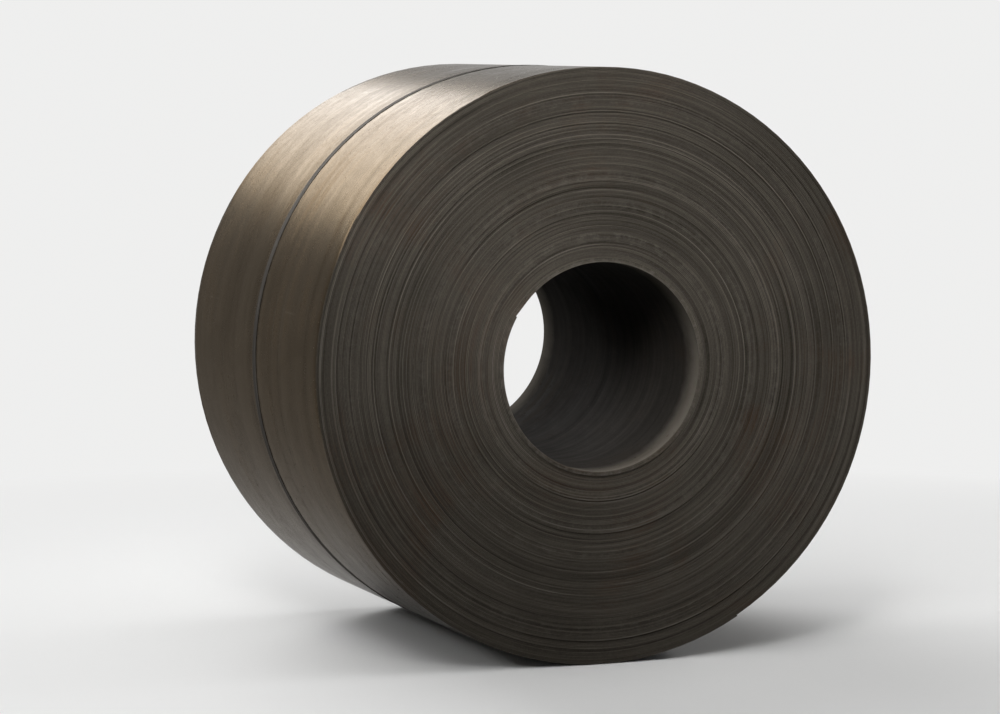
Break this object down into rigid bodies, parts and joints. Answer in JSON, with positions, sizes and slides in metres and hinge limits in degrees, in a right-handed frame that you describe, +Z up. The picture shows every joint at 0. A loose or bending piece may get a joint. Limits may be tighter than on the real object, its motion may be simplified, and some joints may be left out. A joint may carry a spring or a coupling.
{
  "type": "hot-rolled steel coil",
  "caption": "Coil of hot-rolled steel strip lying on its side, with an open eye, stepped ends and one steel strap round its belly.",
  "frame": {"origin": "on the floor, under the middle of the coil", "axes": "+Y along the coil's axis from the front end to the back end, +X to the right as seen from the front end, +Z up"},
  "size_m": [1.7369, 1.2575, 1.7397],
  "materials": {
    "mill_scale": "hot-rolled strip with dark mill scale, half gloss on the shell and dull brown-grey at the wound edges",
    "strapping": "black-waxed steel strapping",
    "seal_steel": "dull plated steel, crimped"
  },
  "bodies": {
    "root": {"coil": "mill_scale", "belly_strap": "strapping", "strap_seal": "seal_steel"}
  },
  "joints": []
}
